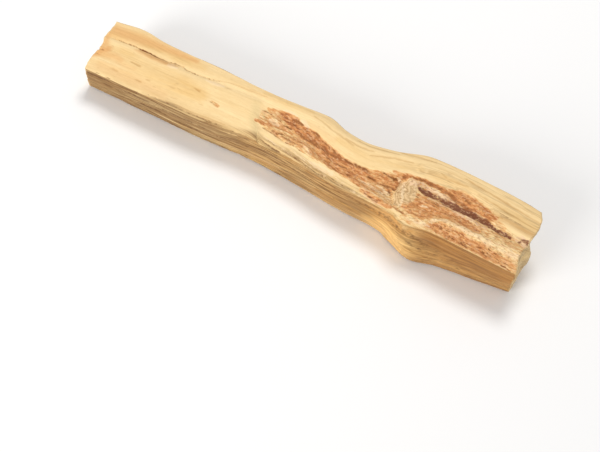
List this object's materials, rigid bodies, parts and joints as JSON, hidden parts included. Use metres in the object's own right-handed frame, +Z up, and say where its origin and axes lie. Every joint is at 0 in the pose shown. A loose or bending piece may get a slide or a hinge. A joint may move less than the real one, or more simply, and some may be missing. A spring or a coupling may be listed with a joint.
{
  "type": "palo santo stick",
  "caption": "Split stick of fragrant heartwood with sawn ends, a torn ledge and resin streak along the top and a knot swelling near one end.",
  "frame": {"origin": "on the surface that the stick rests on, under the middle of its box", "axes": "+X along the grain, towards the thick end with the knot; +Z up, out of the face with the resin streak; -Y out of the striped split face"},
  "size_m": [0.1024, 0.0208, 0.0124],
  "materials": {
    "palo_santo_wood": "raw split heartwood, matt"
  },
  "bodies": {
    "root": {"stick": "palo_santo_wood"}
  },
  "joints": []
}
